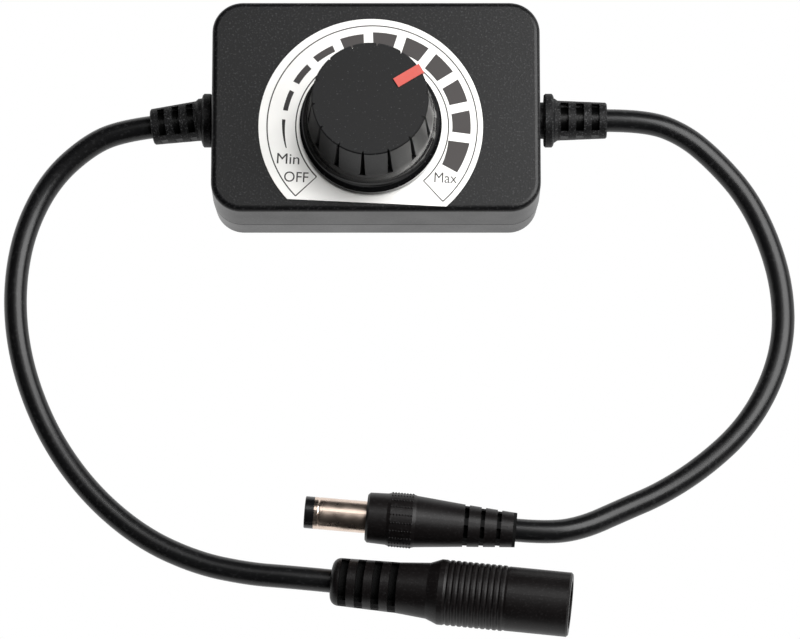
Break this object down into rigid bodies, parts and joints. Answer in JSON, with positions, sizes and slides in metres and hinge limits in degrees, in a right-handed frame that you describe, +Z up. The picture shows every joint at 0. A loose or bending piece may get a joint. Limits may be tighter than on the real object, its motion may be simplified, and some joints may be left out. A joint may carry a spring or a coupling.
{
  "type": "in-line rotary dimmer",
  "caption": "In-line rotary dimmer for low-voltage lighting: moulded box with a skirted knob on a printed dial, and short leads ending in a barrel socket and a barrel plug.",
  "frame": {"origin": "on the surface that the dimmer lies on, under the centre of the box and knob", "axes": "+X along the box from the socket lead to the plug lead, +Z up out of the dial; the leads come round to -Y"},
  "size_m": [0.1376, 0.11, 0.0334],
  "materials": {
    "case_plastic": "moulded, finely grained, satin",
    "dial_print": "printed sheet, silvery white, matt laminate",
    "screw_steel": "nickel-plated steel",
    "board_laminate": "glass-epoxy laminate with green mask",
    "pot_steel": "tinned steel",
    "pot_plastic": "moulded, satin",
    "wafer_laminate": "phenolic paper laminate",
    "turned_brass": "turned, nickel-flashed",
    "shaft_aluminium": "turned",
    "knob_plastic": "moulded, matt top, glossy flare",
    "pointer_red": "moulded red",
    "relief_plastic": "soft moulded, coarse matt",
    "cord_sheath": "soft extruded sheath, satin",
    "wire_red": "extruded insulation",
    "wire_black": "extruded insulation",
    "chip_plastic": "transfer-moulded epoxy",
    "capacitor_sleeve": "shrunk sleeve on aluminium can",
    "resistor_ceramic": "thick-film chips",
    "connector_plastic": "overmoulded, satin",
    "contact_nickel": "nickel-plated brass",
    "insulator_black": "moulded"
  },
  "bodies": {
    "dimmer": {"bottom_cover": "case_plastic", "top_cover": "case_plastic", "case_screws": "screw_steel", "dial_label": "dial_print", "circuit_board": "board_laminate", "pot_wafer": "wafer_laminate", "pot_shell": "pot_plastic", "pot_frame": "pot_steel", "pot_bushing": "turned_brass", "pot_terminals": "pot_steel", "pot_washer": "pot_steel", "pot_nut": "turned_brass", "input_relief": "relief_plastic", "output_relief": "relief_plastic", "input_wire_positive": "wire_red", "input_wire_negative": "wire_black", "output_wire_positive": "wire_red", "output_wire_negative": "wire_black", "power_transistor": "chip_plastic", "control_chip": "chip_plastic", "smoothing_capacitor": "capacitor_sleeve", "diodes": "chip_plastic", "chip_resistors": "resistor_ceramic", "plug_body": "connector_plastic", "plug_barrel": "contact_nickel", "plug_insulator": "insulator_black", "plug_contact": "contact_nickel", "jack_body": "connector_plastic", "jack_liner": "insulator_black", "jack_pin": "contact_nickel", "jack_spring": "contact_nickel", "input_cord": "cord_sheath", "output_cord": "cord_sheath"},
    "dial": {"knob": "knob_plastic", "knob_pointer": "pointer_red", "pot_shaft": "shaft_aluminium", "pot_rotor": "pot_plastic", "pot_wiper": "turned_brass"}
  },
  "joints": [
    {"name": "knob_turn", "type": "hinge", "parent": "dimmer", "child": "dial", "pos_m": [-0.0009, -0.0038, 0.0172], "axis": [0, 0, 1], "range_deg": [-91.5, 208.5]}
  ]
}
